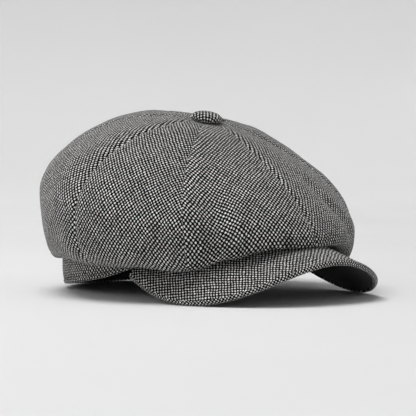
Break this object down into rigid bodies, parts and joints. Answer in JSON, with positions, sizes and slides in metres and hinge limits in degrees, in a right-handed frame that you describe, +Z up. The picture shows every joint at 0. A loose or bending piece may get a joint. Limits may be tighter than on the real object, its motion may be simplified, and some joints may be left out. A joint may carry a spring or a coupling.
{
  "type": "newsboy cap",
  "caption": "Soft paneled cap with a full crown that gathers at a covered button, a narrow band and a stiff curved peak, lined inside to sit on a head.",
  "frame": {"origin": "middle of the head opening seen from above, at the height of the table the cap lies on", "axes": "+Z up, -Y forward towards the peak, -X towards the wearer's right"},
  "size_m": [0.249, 0.2693, 0.139],
  "materials": {
    "tweed": "matte black and white wool tweed",
    "under_cloth": "matte black cotton",
    "lining": "black satin",
    "canvas": "raw canvas",
    "sweatband": "black grosgrain ribbon",
    "elastic": "black woven elastic",
    "board": "matte white polyethylene board",
    "steel": "pressed tinned steel"
  },
  "bodies": {
    "cap": {"band_back_left": "tweed", "band_back_right": "tweed", "band_front": "tweed", "button_back_plate": "steel", "button_cover": "tweed", "button_shell": "steel", "crown_panel_back_left": "tweed", "crown_panel_back_right": "tweed", "crown_panel_front_left": "tweed", "crown_panel_front_right": "tweed", "crown_panel_side_front_left": "tweed", "crown_panel_side_front_right": "tweed", "crown_panel_side_rear_left": "tweed", "crown_panel_side_rear_right": "tweed", "interfacing_back": "canvas", "interfacing_front": "canvas", "lining_panel_back_left": "lining", "lining_panel_back_right": "lining", "lining_panel_front_left": "lining", "lining_panel_front_right": "lining", "lining_panel_side_front_left": "lining", "lining_panel_side_front_right": "lining", "lining_panel_side_rear_left": "lining", "lining_panel_side_rear_right": "lining", "sweatband": "sweatband", "sweatband_elastic": "elastic"},
    "peak": {"peak_board": "board", "peak_top_cover": "tweed", "peak_under_cover": "under_cloth"}
  },
  "joints": [
    {"name": "peak_tilt", "type": "hinge", "parent": "cap", "child": "peak", "pos_m": [0, -0.039, 0.018], "axis": [-1, 0, 0], "range_deg": [0, 8], "stiffness_Nm_per_rad": 2.5, "deforming": ["crown_panel_front_left", "crown_panel_front_right", "crown_panel_side_front_left", "crown_panel_side_front_right", "band_front", "interfacing_front", "sweatband"]}
  ]
}
